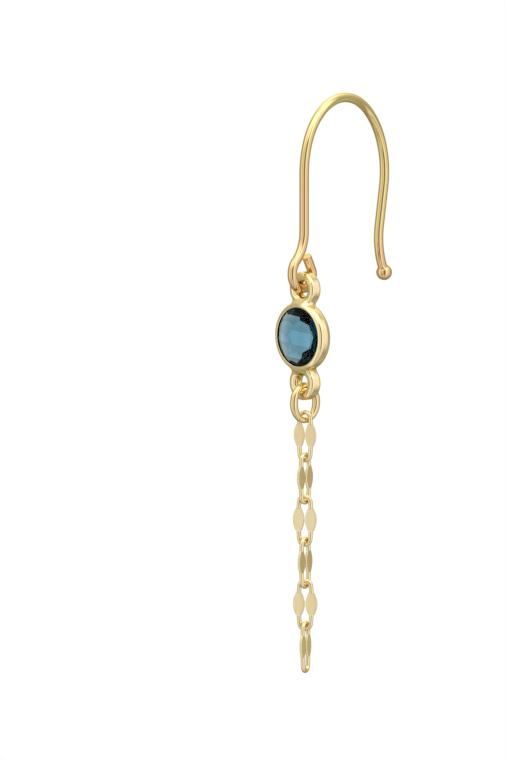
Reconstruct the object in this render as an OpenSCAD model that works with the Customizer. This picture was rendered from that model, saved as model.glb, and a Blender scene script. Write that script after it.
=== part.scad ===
// Drop earring: an open wire hook, a round stone in a cup with two cast eyes,
// an oval jump ring and a short chain of pressed links.
// Millimetres. +Z up, the stone faces -Y, the hook lies in the YZ plane.
// The origin is the underside of the hook's crown, where the ear lobe carries it.

/* [Ear hook] */
// Thickness of the hook's wire
hook_wire_d = 0.78; // [0.7:0.01:0.82]
// Radius of the arch over its crown, on the wire's centre line
crown_bend_r = 5.34; // [5:0.02:5.8]
// Radius of the arch's two sides, on the wire's centre line
side_bend_r = 6.84; // [6:0.02:7.6]
// How far the crown's bend runs down the front, in degrees
front_crown_turn = 68; // [55:1:75]
// How far the crown's bend runs down the back, in degrees
back_crown_turn = 40; // [30:1:55]
// How far the back of the arch turns in past the vertical, in degrees
tail_turn = 11; // [6:0.5:15]
// Straight length of the tail above its last bend
tail_len = 3.13; // [2.5:0.01:4.5]
// Radius of the tail's last bend
tail_bend_r = 5.56; // [4:0.02:7]
// How far the tail's tip leans out again, in degrees
tail_flare = 26; // [15:1:32]
// Ball at the end of the tail
ball_d = 1.3; // [1:0.01:1.6]
// Depth of the small loop's lowest point below the crown
loop_drop = 15.26; // [14.5:0.01:16.5]
// Radius of the small loop's front, on the wire's centre line
loop_r = 1.28; // [1.26:0.01:1.34]
// Level stretch at the bottom of the small loop
loop_flat = 0.5; // [0.48:0.01:0.56]
// Radius of the small loop's back, on the wire's centre line
loop_back_r = 1; // [0.98:0.01:1.06]
// How far the small loop's front bend is centred in front of the stem
loop_forward = 0.37; // [0.34:0.01:0.4]
// Angle at which the neck leans into the small loop, in degrees
neck_angle = 52; // [50:0.5:53]
// Where the small loop's back bend ends above its centre, in degrees
loop_end_angle = 31; // [24:1:31]
// Straight length from there to the wire's cut end
cut_end_len = 1.28; // [0.8:0.02:1.3]

/* [Bezel setting] */
// Outer diameter of the cup
cup_d = 5.7; // [5.6:0.02:5.9]
// Diameter of the round opening that shows the stone
aperture_d = 4.8; // [4.7:0.02:4.88]
// Depth of the cup from its lip to its back
cup_depth = 1.4; // [1.38:0.02:1.5]
// Rounding of the lip
lip_round = 0.36; // [0.25:0.01:0.4]
// Rounding of the cup's back edge
back_round = 0.7; // [0.5:0.05:0.75]
// Opening in the back of the cup
back_hole_d = 4.5; // [4.2:0.05:4.6]
// Outer diameter of each cast eye
eye_d = 2.84; // [2.8:0.01:2.88]
// Hole of each cast eye
eye_hole_d = 1.3; // [1.28:0.01:1.32]
// Depth of each cast eye, front to back
eye_depth = 1.08; // [1:0.01:1.1]
// Rounding of the eye's edges at its hole
eye_hole_round = 0.42; // [0.4:0.01:0.44]
// Rounding of the eye's outer edges
eye_round = 0.26; // [0.24:0.01:0.3]
// Distance of the upper eye's centre from the stone's centre
upper_reach = 3.9; // [3.88:0.01:3.92]
// Distance of the lower eye's centre from the stone's centre
lower_reach = 3.8; // [3.78:0.01:3.85]
// Depth of the eyes' middle behind the lip
eye_setback = 0.88; // [0.82:0.01:0.9]
// Turn of the cup about the vertical, in degrees
cup_turn = -11; // [-12:1:12]

/* [Topaz stone] */
// Diameter of the stone
stone_d = 5.0; // [4.96:0.01:5.02]
// Side of the square table, which the rest of the chequered crown repeats
facet_w = 1.15; // [1.1:0.01:1.16]
// Height of the table above the girdle
crown_h = 0.55; // [0.5:0.01:0.6]
// Turn of the chequered crown about the stone's axis, in degrees
crown_turn = -6; // [-10:1:10]
// Slope of the small facets behind the girdle, in degrees
rim_slope = 32; // [31:0.5:33]
// Turn of the small facets about the stone's axis, in degrees
rim_turn = 4; // [0:1:10]
// Distance from the axis to where the small facets end and the main ones begin
parting_r = 2.06; // [2:0.02:2.1]
// Slope of the main facets, in degrees
main_slope = 26; // [25:0.5:27]
// Turn of the main facets about the stone's axis, in degrees
main_turn = 25.5; // [20:0.5:30]
// Distance from the axis to the edges of the flat back
culet_r = 1.09; // [1:0.01:1.2]
// Thickness of the girdle
girdle_h = 0.1; // [0.08:0.01:0.12]

/* [Jump ring] */
// Wire of the jump ring at its top and bottom
jump_wire_d = 0.49; // [0.44:0.01:0.5]
// Wire of the jump ring at its two sides, where it is thicker
jump_side_d = 0.66; // [0.6:0.01:0.7]
// Outer width of the jump ring
jump_w = 3.0; // [2.9:0.05:3.1]
// Outer height of the jump ring
jump_h = 3.38; // [3.34:0.01:3.42]
// Turn of the jump ring about the vertical, in degrees
jump_turn = 75; // [70:1:80]

/* [Chain] */
// Wire of the links' ends
link_wire_d = 0.36; // [0.32:0.01:0.37]
// Distance between the two side legs, centre to centre
leg_span = 1.04; // [1.03:0.01:1.06]
// Length of the pressed leaf on each leg
leaf_len = 1.8; // [1.7:0.02:1.84]
// Width of the pressed leaf at its middle
leaf_w = 0.98; // [0.85:0.01:0.98]
// Thickness of the pressed leaf
leaf_t = 0.2; // [0.16:0.01:0.24]
// Height of a link's upper arch above the leaf
upper_arch_h = 1.18; // [1.17:0.01:1.22]
// Height of a link's lower arch below the leaf
lower_arch_h = 1.33; // [1.32:0.01:1.37]
// Distance from one link to the next
link_pitch = 3.475; // [3.46:0.005:3.48]

/* [Hidden] */

GOLD = [0.86, 0.74, 0.46];
PALE_GOLD = [0.88, 0.8, 0.58];
DEEP_GOLD = [0.72, 0.64, 0.43];
BLUE_TOPAZ = [0.36, 0.56, 0.67];

// Turn of each link about the vertical, in degrees, from the top of the chain down
link_turns = [10, 88, 20, 92, 28, 101];

// How far the drop's axis stands to the side of the loop's wire, and behind its front bend
drop_aside = 0.15;
drop_behind = 0.3;
// How far each link hangs towards +X of the drop's axis
link_asides = [0, 0, -0.02, 0.01, 0.02, 0.05];

// Running gaps between pieces: over the hook's wire, over the jump ring, round the stone
eye_gap = 0.21;
jump_gap = 0.2;
stone_gap = 0.03;
// Top of the first link above the middle of the jump ring's lowest wire
link_hang = 0.84;

// Smoothness of arcs and of rounded edges
arc_fn = 96;
round_fn = 40;
// Sides of the jump ring's wire and steps round the ring
jump_sides = 14;
jump_steps = 36;
// Sides of the hook's wire, and the steps of its wide arcs, its tight arcs and its ball, in degrees
hook_sides = 20;
wide_step = 5;
tight_step = 9;
ball_step = 18;
// How far a cutting shape runs past what it cuts
cut_over = 1;

hook_wire_r = hook_wire_d / 2;
eye_hole_r = eye_hole_d / 2;
jump_wire_r = jump_wire_d / 2;
jump_side_r = jump_side_d / 2;
link_wire_r = link_wire_d / 2;

// Hook: points in its plane are [y, z]
crown_z = hook_wire_r;
crown_centre = [0, crown_z - crown_bend_r];
front_centre = crown_centre
    - (side_bend_r - crown_bend_r) * [-sin(front_crown_turn), cos(front_crown_turn)];
back_centre = crown_centre
    - (side_bend_r - crown_bend_r) * [sin(back_crown_turn), cos(back_crown_turn)];
stem_y = front_centre[0] - side_bend_r;
neck_bend_r = (loop_forward + loop_r * cos(neck_angle)) / (1 - cos(neck_angle));
loop_y = stem_y - loop_forward;
loop_bottom_z = crown_z - loop_drop;
loop_z = loop_bottom_z + loop_r;
neck_z = loop_z + (loop_r + neck_bend_r) * sin(neck_angle);
loop_back_centre = [loop_y + loop_flat, loop_bottom_z + loop_back_r];
cut_end = loop_back_centre
    + loop_back_r * [cos(loop_end_angle), sin(loop_end_angle)]
    + cut_end_len * [-sin(loop_end_angle), cos(loop_end_angle)];
tail_top = back_centre + side_bend_r * [cos(tail_turn), -sin(tail_turn)];
tail_low = tail_top - tail_len * [sin(tail_turn), cos(tail_turn)];
tail_bend_centre = tail_low + tail_bend_r * [cos(tail_turn), -sin(tail_turn)];
ball_r = ball_d / 2;

// Heights of the hanging pieces, from the hook's loop down
drop_y = loop_y + drop_behind;
upper_eye_z = loop_bottom_z + hook_wire_r + eye_gap - eye_hole_r;
stone_z = upper_eye_z - upper_reach;
lower_eye_z = stone_z - lower_reach;
jump_top_z = lower_eye_z - eye_hole_r + jump_gap + jump_wire_d;
jump_z = jump_top_z - jump_h / 2;
jump_low_z = jump_z - jump_h / 2 + jump_wire_r;
first_leaf_z = jump_low_z + link_hang - upper_arch_h - leaf_len / 2;

// One section of the hook's wire: [y, z, y and z of the side it keeps to the left, radius]
function hook_section(at, left, r) = [at[0], at[1], left[0], left[1], r];

// A bend from one angle to another; clockwise bends keep their outside to the left
function hook_bend(centre, bend_r, from, to, step) =
    let (count = ceil(abs(to - from) / step), side = to < from ? 1 : -1)
    [
        for (i = [0:count])
            let (a = from + (to - from) * i / count, out = [cos(a), sin(a)])
            hook_section(centre + bend_r * out, side * out, hook_wire_r)
    ];

// The ball: the wire swells from its last section and closes to a small flat at the tip
function hook_ball(centre, bend_r, at_angle) =
    let (
        out = [cos(at_angle), sin(at_angle)],
        ahead = [-sin(at_angle), cos(at_angle)],
        start = asin(hook_wire_r / ball_r),
        count = floor((180 - start) / ball_step)
    )
    [
        for (i = [1:count])
            let (a = start + i * ball_step)
            hook_section(
                centre + bend_r * out + ball_r * (cos(start) - cos(a)) * ahead,
                -out,
                ball_r * sin(a)
            )
    ];

function skip_first(list) = [for (i = [1:len(list) - 1]) list[i]];

// The whole wire from the loop's cut end to the ball; the straight stretches lie between bends
hook_sections = concat(
    [hook_section(cut_end, [cos(loop_end_angle), sin(loop_end_angle)], hook_wire_r)],
    hook_bend(loop_back_centre, loop_back_r, 360 + loop_end_angle, 270, tight_step),
    hook_bend([loop_y, loop_z], loop_r, 270, 180 - neck_angle, tight_step),
    skip_first(hook_bend(
        [stem_y - neck_bend_r, neck_z], neck_bend_r, -neck_angle, 0, tight_step
    )),
    hook_bend(front_centre, side_bend_r, 180, 90 + front_crown_turn, wide_step),
    skip_first(hook_bend(
        crown_centre, crown_bend_r, 90 + front_crown_turn, 90 - back_crown_turn, wide_step
    )),
    skip_first(hook_bend(back_centre, side_bend_r, 90 - back_crown_turn, -tail_turn, wide_step)),
    hook_bend(tail_bend_centre, tail_bend_r, 180 - tail_turn, 180 + tail_flare, wide_step),
    hook_ball(tail_bend_centre, tail_bend_r, 180 + tail_flare)
);

// Cup and stone, measured forward from the eyes' middle plane
lip_front = eye_setback;
lip_edge = 0.02;
lip_flare = 0.35;
girdle_sink = 0.15;
girdle_front = lip_front - girdle_sink;
girdle_back = girdle_front - girdle_h;
stone_r = stone_d / 2;
dome_r = stone_r * stone_r / (2 * crown_h);
crown_rows = 5;
rim_facets = 16;
main_facets = 8;
girdle_sides = 32;
rim_depth = (stone_r - parting_r) * tan(rim_slope);
seat_gap = 0.08;

// A link's arches: the legs lean in and meet a round end
leg_lean = 4.5;
half_span = leg_span / 2;
arch_steps = 7;
leaf_steps = 6;
leaf_end_w = 0.5;
leaf_fullness = 1.1;
leaf_ramp = 0.12;
hexagon_h = sin(60);
wire_shoulder = 0.5;
leaf_shoulder = 0.86;

function arch_end_r(rise) =
    (half_span * cos(leg_lean) - rise * sin(leg_lean)) / (1 - sin(leg_lean));

// Half the leaf's width at t, which runs from -1 to 1 along the leaf
function leaf_half_w(t) =
    (leaf_end_w + (leaf_w - leaf_end_w) * pow(1 - t * t, leaf_fullness)) / 2;

// One section of a link: [x, z, outward x, outward z, half width, half thickness, shoulder]
function wire_section(x, z, out) =
    [x, z, out[0], out[1], link_wire_r, link_wire_r * hexagon_h, wire_shoulder];

function leaf_section(side, t) =
    [side * half_span, t * leaf_len / 2, side, 0, leaf_half_w(t), leaf_t / 2, leaf_shoulder];

// A leg just past its leaf, where the wire is round again
function ramp_section(side, end) =
    wire_section(
        side * (half_span - leaf_ramp * sin(leg_lean)),
        end * (leaf_len / 2 + leaf_ramp),
        [side, 0]
    );

// The round end of an arch, from the right leg to the left one; end is 1 above and -1 below
function arch_sections(end, height) =
    let (rise = height - link_wire_r, r = arch_end_r(rise), sweep = 180 - 2 * leg_lean)
    [
        for (i = [0:arch_steps])
            let (a = leg_lean + sweep * i / arch_steps)
            wire_section(
                r * cos(a),
                end * (leaf_len / 2 + rise - r + r * sin(a)),
                [cos(a), end * sin(a)]
            )
    ];

function reversed(list) = [for (i = [len(list) - 1:-1:0]) list[i]];

link_sections = concat(
    [for (i = [0:leaf_steps]) leaf_section(1, 2 * i / leaf_steps - 1)],
    [ramp_section(1, 1)],
    arch_sections(1, upper_arch_h),
    [ramp_section(-1, 1)],
    [for (i = [0:leaf_steps]) leaf_section(-1, 1 - 2 * i / leaf_steps)],
    [ramp_section(-1, -1)],
    reversed(arch_sections(-1, lower_arch_h)),
    [ramp_section(1, -1)]
);

// Six corners of a section: offsets along its outward direction and along Y
function section_corners(half_w, half_t, shoulder) = [
    [half_w, 0],
    [half_w * shoulder, half_t],
    [-half_w * shoulder, half_t],
    [-half_w, 0],
    [-half_w * shoulder, -half_t],
    [half_w * shoulder, -half_t]
];

// A closed solid through rings of points; the last ring joins the first one
module closed_loop(rings) {
    sides = len(rings[0]);
    count = len(rings);
    faces = [
        for (i = [0:count - 1])
            for (j = [0:sides - 1])
                let (next = (i + 1) % count, k = (j + 1) % sides)
                [i * sides + j, next * sides + j, next * sides + k, i * sides + k]
    ];
    polyhedron(points = [for (ring = rings) each ring], faces = faces, convexity = 6);
}

module ear_hook() {
    n = hook_sides;
    count = len(hook_sections);
    points = [
        for (s = hook_sections)
            for (k = [0:n - 1])
                let (a = 360 * k / n, left = s[4] * cos(a))
                [s[4] * sin(a), s[0] + s[2] * left, s[1] + s[3] * left]
    ];
    walls = [
        for (i = [0:count - 2])
            for (k = [0:n - 1])
                let (m = (k + 1) % n)
                [i * n + k, (i + 1) * n + k, (i + 1) * n + m, i * n + m]
    ];
    cut_face = [for (k = [0:n - 1]) k];
    tip_face = [for (k = [n - 1:-1:0]) (count - 1) * n + k];
    color(GOLD)
        polyhedron(points = points, faces = concat(walls, [cut_face, tip_face]), convexity = 6);
}

// Puts a shape on the drop's axis at height z, turned about the vertical
module on_drop(z, turn) {
    translate([drop_aside, drop_y, z])
        rotate([0, 0, turn])
            children();
}

// Does the same with a shape whose top becomes its front
module facing_front(z, turn) {
    on_drop(z, turn)
        rotate([90, 0, 0])
            children();
}

// Half the cup's section, filled to its axis
module cup_outline() {
    cup_r = cup_d / 2;
    cup_back = lip_front - cup_depth;
    translate([0, cup_back])
        square([cup_r - back_round, cup_depth]);
    translate([0, cup_back + back_round])
        square([cup_r - lip_round, cup_depth - back_round]);
    translate([0, cup_back + back_round])
        square([cup_r, cup_depth - back_round - lip_round]);
    translate([cup_r - back_round, cup_back + back_round])
        circle(r = back_round, $fn = round_fn);
    translate([cup_r - lip_round, lip_front - lip_round])
        circle(r = lip_round, $fn = round_fn);
}

// Half the room that the stone and the light take in the cup
module cup_hollow() {
    seat_r = stone_r + stone_gap;
    back_r = back_hole_d / 2;
    seat_back = girdle_back - seat_gap;
    polygon([
        [0, lip_front + cut_over],
        [aperture_d / 2 + lip_flare, lip_front + cut_over],
        [aperture_d / 2, lip_front - lip_edge],
        [seat_r, girdle_front + stone_gap],
        [seat_r, seat_back],
        [back_r, seat_back - (seat_r - back_r) * tan(rim_slope)],
        [back_r, -cup_depth - cut_over],
        [0, -cup_depth - cut_over]
    ]);
}

// Half the section of a cast eye, softly round at its hole and more sharply outside
module eye_outline() {
    eye_r = eye_d / 2;
    inner_r = eye_hole_r + eye_hole_round;
    outer_r = eye_r - eye_round;
    for (side = [-1, 1]) {
        translate([inner_r, side * (eye_depth / 2 - eye_hole_round)])
            circle(r = eye_hole_round, $fn = round_fn);
        translate([outer_r, side * (eye_depth / 2 - eye_round)])
            circle(r = eye_round, $fn = round_fn);
    }
    translate([eye_hole_r, eye_hole_round - eye_depth / 2])
        square([eye_hole_round, eye_depth - 2 * eye_hole_round]);
    translate([inner_r, -eye_depth / 2])
        square([outer_r - inner_r, eye_depth]);
    translate([outer_r, eye_round - eye_depth / 2])
        square([eye_round, eye_depth - 2 * eye_round]);
}

module cast_eye(reach) {
    translate([0, reach, 0])
        rotate_extrude($fn = arc_fn)
            eye_outline();
}

module bezel_setting() {
    color(GOLD)
        facing_front(stone_z, cup_turn)
            difference() {
                union() {
                    rotate_extrude($fn = arc_fn)
                        cup_outline();
                    cast_eye(upper_reach);
                    cast_eye(-lower_reach);
                }
                rotate_extrude($fn = arc_fn)
                    cup_hollow();
            }
}

// The dome of the crown: flat squares in rows and columns, the table in the middle
module chequered_crown() {
    rows = crown_rows;
    low = (1 - crown_rows) / 2 - 1;
    corners = [
        for (i = [0:rows])
            for (j = [0:rows])
                let (a = i + low, b = j + low)
                [
                    (a + 0.5) * facet_w,
                    (b + 0.5) * facet_w,
                    crown_h - (a * (a + 1) + b * (b + 1)) * facet_w * facet_w / (2 * dome_r)
                ]
    ];
    side = rows + 1;
    edge = (low + 0.5) * facet_w;
    feet = [for (p = [[1, 1], [1, -1], [-1, -1], [-1, 1]]) [p[0] * edge, p[1] * edge, -stone_r]];
    foot = len(corners);
    squares = [
        for (i = [0:rows - 1])
            for (j = [0:rows - 1])
                [i * side + j, i * side + j + 1, (i + 1) * side + j + 1, (i + 1) * side + j]
    ];
    walls = [
        concat([foot, foot + 1], [for (j = [rows:-1:0]) j]),
        concat([foot + 1, foot + 2], [for (i = [rows:-1:0]) i * side + rows]),
        concat([foot + 2, foot + 3], [for (j = [0:rows]) rows * side + j]),
        concat([foot + 3, foot], [for (i = [0:rows]) i * side])
    ];
    polyhedron(
        points = concat(corners, feet),
        faces = concat(squares, walls, [[foot, foot + 3, foot + 2, foot + 1]]),
        convexity = 2
    );
}

// Corners of a ring of facets whose middles are r away from the axis
function facet_ring(count, turn, r, height) = [
    for (k = [0:count - 1])
        let (a = turn + (k + 0.5) * 360 / count, corner_r = r / cos(180 / count))
        [corner_r * cos(a), corner_r * sin(a), height]
];

// A solid between two rings of as many corners, the first one below
module between_rings(low, high) {
    n = len(low);
    faces = concat(
        [[for (k = [0:n - 1]) k]],
        [for (k = [0:n - 1]) let (m = (k + 1) % n) [k, n + k, n + m, m]],
        [[for (k = [n - 1:-1:0]) n + k]]
    );
    polyhedron(points = concat(low, high), faces = faces, convexity = 2);
}

// Facets at one slope all round, r away from the axis at height 0 and low_r away at the bottom
module facet_cone(count, turn, slope, r, low_r) {
    between_rings(
        facet_ring(count, turn, low_r, (low_r - r) * tan(slope)),
        facet_ring(count, turn, r + r / tan(slope), r)
    );
}

// The girdle, carried on upwards, and behind it the small facets, the main ones and the flat back
module pavilion() {
    girdle_turn = 180 / girdle_sides;
    girdle_r = stone_r * cos(girdle_turn);
    intersection() {
        between_rings(
            facet_ring(girdle_sides, girdle_turn, girdle_r, -stone_r),
            facet_ring(girdle_sides, girdle_turn, girdle_r, stone_r / 2)
        );
        facet_cone(rim_facets, rim_turn, rim_slope, stone_r, culet_r / 2);
        facet_cone(
            main_facets, main_turn, main_slope, parting_r + rim_depth / tan(main_slope), culet_r
        );
    }
}

module topaz_stone() {
    color(BLUE_TOPAZ)
        facing_front(stone_z, cup_turn)
            intersection() {
                translate([0, 0, girdle_front])
                    rotate([0, 0, crown_turn])
                        chequered_crown();
                translate([0, 0, girdle_back])
                    pavilion();
            }
}

// One section of the jump ring: round, and thickest where the ring is widest
function jump_section(a) =
    let (
        wide = (jump_w / 2 - jump_side_r),
        high = (jump_h / 2 - jump_wire_r),
        slope = [cos(a) / wide, sin(a) / high],
        out = slope / norm(slope),
        r = jump_wire_r + (jump_side_r - jump_wire_r) * pow(cos(a), 2)
    )
    [
        for (k = [0:jump_sides - 1])
            let (c = 360 * (k + 0.5) / jump_sides, across = r * cos(c))
            [wide * cos(a) + across * out[0], r * sin(c), high * sin(a) + across * out[1]]
    ];

module jump_ring() {
    color(GOLD)
        on_drop(jump_z, jump_turn)
            closed_loop([for (i = [0:jump_steps - 1]) jump_section(360 * i / jump_steps)]);
}

// A pressed link: a closed wire loop whose two long sides are flattened into leaves
module pressed_link() {
    closed_loop([
        for (s = link_sections)
            [
                for (c = section_corners(s[4], s[5], s[6]))
                    [s[0] + s[2] * c[0], c[1], s[1] + s[3] * c[0]]
            ]
    ]);
}

module chain_link(index) {
    color(index % 2 == 0 ? PALE_GOLD : DEEP_GOLD)
        translate([link_asides[index], 0, 0])
            on_drop(first_leaf_z - index * link_pitch, link_turns[index])
                pressed_link();
}

module chain_link_1() { chain_link(0); }
module chain_link_2() { chain_link(1); }
module chain_link_3() { chain_link(2); }
module chain_link_4() { chain_link(3); }
module chain_link_5() { chain_link(4); }
module chain_link_6() { chain_link(5); }

ear_hook();
bezel_setting();
topaz_stone();
jump_ring();
chain_link_1();
chain_link_2();
chain_link_3();
chain_link_4();
chain_link_5();
chain_link_6();
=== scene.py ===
"""Looks of a topaz drop earring: polished hook, cast cup, cut stone, jump ring and leaf chain."""

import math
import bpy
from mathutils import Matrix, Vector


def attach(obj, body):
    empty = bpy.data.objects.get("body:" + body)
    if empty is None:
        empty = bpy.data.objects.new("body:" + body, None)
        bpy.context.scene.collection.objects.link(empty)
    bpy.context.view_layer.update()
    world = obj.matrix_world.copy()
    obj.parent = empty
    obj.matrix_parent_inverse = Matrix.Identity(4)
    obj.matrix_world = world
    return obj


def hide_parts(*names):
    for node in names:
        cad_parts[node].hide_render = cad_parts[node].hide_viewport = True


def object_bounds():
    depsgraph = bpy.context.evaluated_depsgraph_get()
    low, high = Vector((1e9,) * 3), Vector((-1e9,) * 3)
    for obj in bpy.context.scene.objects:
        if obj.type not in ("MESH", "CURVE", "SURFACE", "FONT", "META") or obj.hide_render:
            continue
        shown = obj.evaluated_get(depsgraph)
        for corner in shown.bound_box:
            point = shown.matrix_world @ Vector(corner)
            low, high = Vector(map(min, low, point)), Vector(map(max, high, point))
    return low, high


bl_info = {
    "name": "Topaz drop earring",
    "version": (1, 0, 0),
    "blender": (4, 5, 0),
    "location": "View3D > Sidebar > Earring",
    "description": "Dresses the packed earring with polished gold, a cut stone and a pressed chain",
    "category": "Object",
}

from itertools import combinations

import bpy
import numpy as np
from bpy.props import FloatProperty, FloatVectorProperty, PointerProperty
from mathutils import Vector

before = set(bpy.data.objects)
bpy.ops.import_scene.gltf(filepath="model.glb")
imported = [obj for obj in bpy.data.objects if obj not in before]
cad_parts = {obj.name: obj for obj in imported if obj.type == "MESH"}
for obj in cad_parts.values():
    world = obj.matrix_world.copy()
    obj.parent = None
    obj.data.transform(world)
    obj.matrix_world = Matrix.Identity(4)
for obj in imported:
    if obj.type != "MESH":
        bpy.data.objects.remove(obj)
CAD_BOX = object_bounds()

MM = 0.001
FULL_TURN = 2 * math.pi
QUARTER = math.pi / 2
TINY = 1e-9


# Properties


def length(name, description, size_mm):
    """A length that a user may change, stored in metres."""
    return FloatProperty(
        name=name, description=description, default=size_mm * MM, unit="LENGTH", precision=5
    )


def angle(name, description, degrees):
    """An angle that a user may change."""
    return FloatProperty(
        name=name, description=description, default=math.radians(degrees), subtype="ANGLE"
    )


def colour(name, description, default):
    """A colour in linear light."""
    return FloatVectorProperty(
        name=name, description=description, default=default, size=3, min=0.0, max=1.0,
        subtype="COLOR",
    )


class HookSizes(bpy.types.PropertyGroup):
    """Sizes of the bent wire hook"""

    wire_d: length("Wire", "Thickness of the hook's wire", 0.78)
    crown_bend: length("Crown bend", "Radius of the arch over its crown", 5.34)
    side_bend: length("Side bend", "Radius of the arch's two sides", 6.84)
    front_turn: angle("Front turn", "How far the crown's bend runs down the front", 68)
    back_turn: angle("Back turn", "How far the crown's bend runs down the back", 40)
    tail_turn: angle("Tail turn", "How far the back bend runs past the vertical", 11)
    tail_length: length("Tail", "Straight length above the last bend", 3.13)
    tail_bend: length("Tail bend", "Radius of the tail's last bend", 5.56)
    tail_flare: angle("Tail flare", "How far the tip leans out again", 26)
    ball_d: length("Ball", "Diameter of the ball at the tip", 1.3)
    loop_drop: length("Loop drop", "Depth of the loop's lowest point below the crown", 15.26)
    loop_front: length("Loop front", "Radius of the small loop's front", 1.28)
    loop_flat: length("Loop flat", "Level stretch at the bottom of the loop", 0.5)
    loop_back: length("Loop back", "Radius of the small loop's back", 1.0)
    loop_forward: length("Loop forward", "How far the loop stands in front of the stem", 0.37)
    neck_turn: angle("Neck turn", "How far the neck leans into the loop", 52)
    loop_end: angle("Loop end", "Where the loop's back bend ends above its centre", 31)
    end_length: length("End", "Straight length from there to the cut end", 1.28)
    rim_round: length("Rim", "Rounding of the cut end's rim", 0.03)


class CupSizes(bpy.types.PropertyGroup):
    """Sizes of the cup and its two cast eyes"""

    cup_d: length("Cup", "Outer diameter of the cup", 5.7)
    aperture_d: length("Aperture", "Opening that shows the stone", 4.8)
    cup_depth: length("Depth", "Depth of the cup", 1.4)
    lip_round: length("Lip", "Rounding of the lip", 0.36)
    back_round: length("Back", "Rounding of the back edge", 0.7)
    back_hole_d: length("Back opening", "Opening in the back of the cup", 4.5)
    eye_d: length("Eye", "Outer diameter of each eye", 2.84)
    eye_hole_d: length("Eye hole", "Hole of each eye", 1.3)
    eye_depth: length("Eye depth", "Depth of each eye", 1.08)
    hole_round: length("Hole edge", "Rounding of the eye's edges at its hole", 0.42)
    eye_round: length("Eye edge", "Rounding of the eye's outer edges", 0.26)
    upper_reach: length("Upper reach", "Distance of the upper eye from the stone's centre", 3.9)
    lower_reach: length("Lower reach", "Distance of the lower eye from the stone's centre", 3.8)
    eye_setback: length("Eye setback", "Depth of the eyes' middle behind the lip", 0.88)
    turn: angle("Turn", "Turn of the cup about the vertical", -11)
    solder: length("Solder", "Size of the fillet between the eyes and the cup", 0.5)
    net: length("Net", "Spacing of the surface net", 0.048)


class StoneSizes(bpy.types.PropertyGroup):
    """Sizes and colour of the cut stone"""

    stone_d: length("Stone", "Diameter of the stone", 5.0)
    facet: length("Facet", "Side of the square table, repeated over the crown", 1.15)
    crown: length("Crown", "Height of the table above the girdle", 0.55)
    crown_turn: angle("Crown turn", "Turn of the chequered crown", -6)
    rim_slope: angle("Rim slope", "Slope of the small facets behind the girdle", 32)
    rim_turn: angle("Rim turn", "Turn of the small facets about the axis", 4)
    parting: length("Parting", "Distance from the axis where the small facets end", 2.06)
    main_slope: angle("Main slope", "Slope of the main facets", 26)
    main_turn: angle("Main turn", "Turn of the main facets about the axis", 25.5)
    culet_r: length("Culet", "Distance of the flat back's edges from the axis", 1.09)
    girdle: length("Girdle", "Thickness of the girdle", 0.1)
    sink: length("Sink", "Depth of the girdle behind the lip", 0.15)
    tint: colour("Tint", "Colour of light that has crossed the stone", (0.02, 0.47, 0.60))


class ChainSizes(bpy.types.PropertyGroup):
    """Sizes of the jump ring and of the pressed links"""

    jump_wire_d: length("Jump wire", "Wire of the jump ring at its top and bottom", 0.49)
    jump_side_d: length("Jump side", "Wire of the jump ring at its two sides", 0.66)
    jump_width: length("Jump width", "Outer width of the jump ring", 3.0)
    jump_height: length("Jump height", "Outer height of the jump ring", 3.38)
    jump_turn: angle("Jump turn", "Turn of the jump ring about the vertical", 75)
    wire_d: length("Link wire", "Wire of the links' ends", 0.36)
    leg_span: length("Leg span", "Distance between the two legs", 1.04)
    leaf_length: length("Leaf length", "Length of the pressed leaf", 1.8)
    leaf_width: length("Leaf width", "Width of the leaf at its middle", 0.98)
    leaf_end: length("Leaf end", "Width of the leaf at its ends", 0.5)
    leaf_thick: length("Leaf thickness", "Thickness of the pressed leaf", 0.2)
    upper_arch: length("Upper arch", "Height of the arch above the leaf", 1.18)
    lower_arch: length("Lower arch", "Height of the arch below the leaf", 1.33)
    lean: angle("Lean", "How far the legs lean in above and below the leaf", 4.5)
    ramp: length("Ramp", "Length of the step from leaf to round wire", 0.03)


class StageSettings(bpy.types.PropertyGroup):
    """Camera, floor and light"""

    azimuth: angle("Azimuth", "Camera's turn about the vertical", 36)
    elevation: angle("Elevation", "Camera's height above the horizon", 6)
    distance: length("Distance", "Camera's distance from the earring", 1000.0)
    frame_height: length("Frame height", "Height that the picture shows at the earring", 62.3)
    centre_left: length("Centre left", "Picture's middle left of the ear hole", 7.382)
    centre_down: length("Centre down", "Picture's middle below the ear hole", 22.76)
    floor_drop: length("Floor drop", "Depth of the floor below the chain", 30.0)


# Shader maths


class Shade:
    """A value or colour in a node tree, so that shader maths reads as Python."""

    def __init__(self, nodes, socket):
        self.nodes = nodes
        self.socket = socket

    def __add__(self, other):
        return self.nodes.maths("ADD", self, other)

    __radd__ = __add__

    def __sub__(self, other):
        return self.nodes.maths("SUBTRACT", self, other)

    def __rsub__(self, other):
        return self.nodes.maths("SUBTRACT", other, self)

    def __mul__(self, other):
        return self.nodes.maths("MULTIPLY", self, other)

    __rmul__ = __mul__

    def between(self, low, high):
        """0 at low, 1 at high, straight in between and level past both."""
        ends = {"Value": self, "From Min": low, "From Max": high}
        return self.nodes.add("ShaderNodeMapRange", {"clamp": True}, ends)

    def blend(self, first, second):
        """The first colour where this value is 0 and the second where it is 1."""
        return self.nodes.add(
            "ShaderNodeMix",
            {"data_type": "RGBA"},
            {"Factor": self, "A": first, "B": second},
            out="Result",
        )


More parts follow.
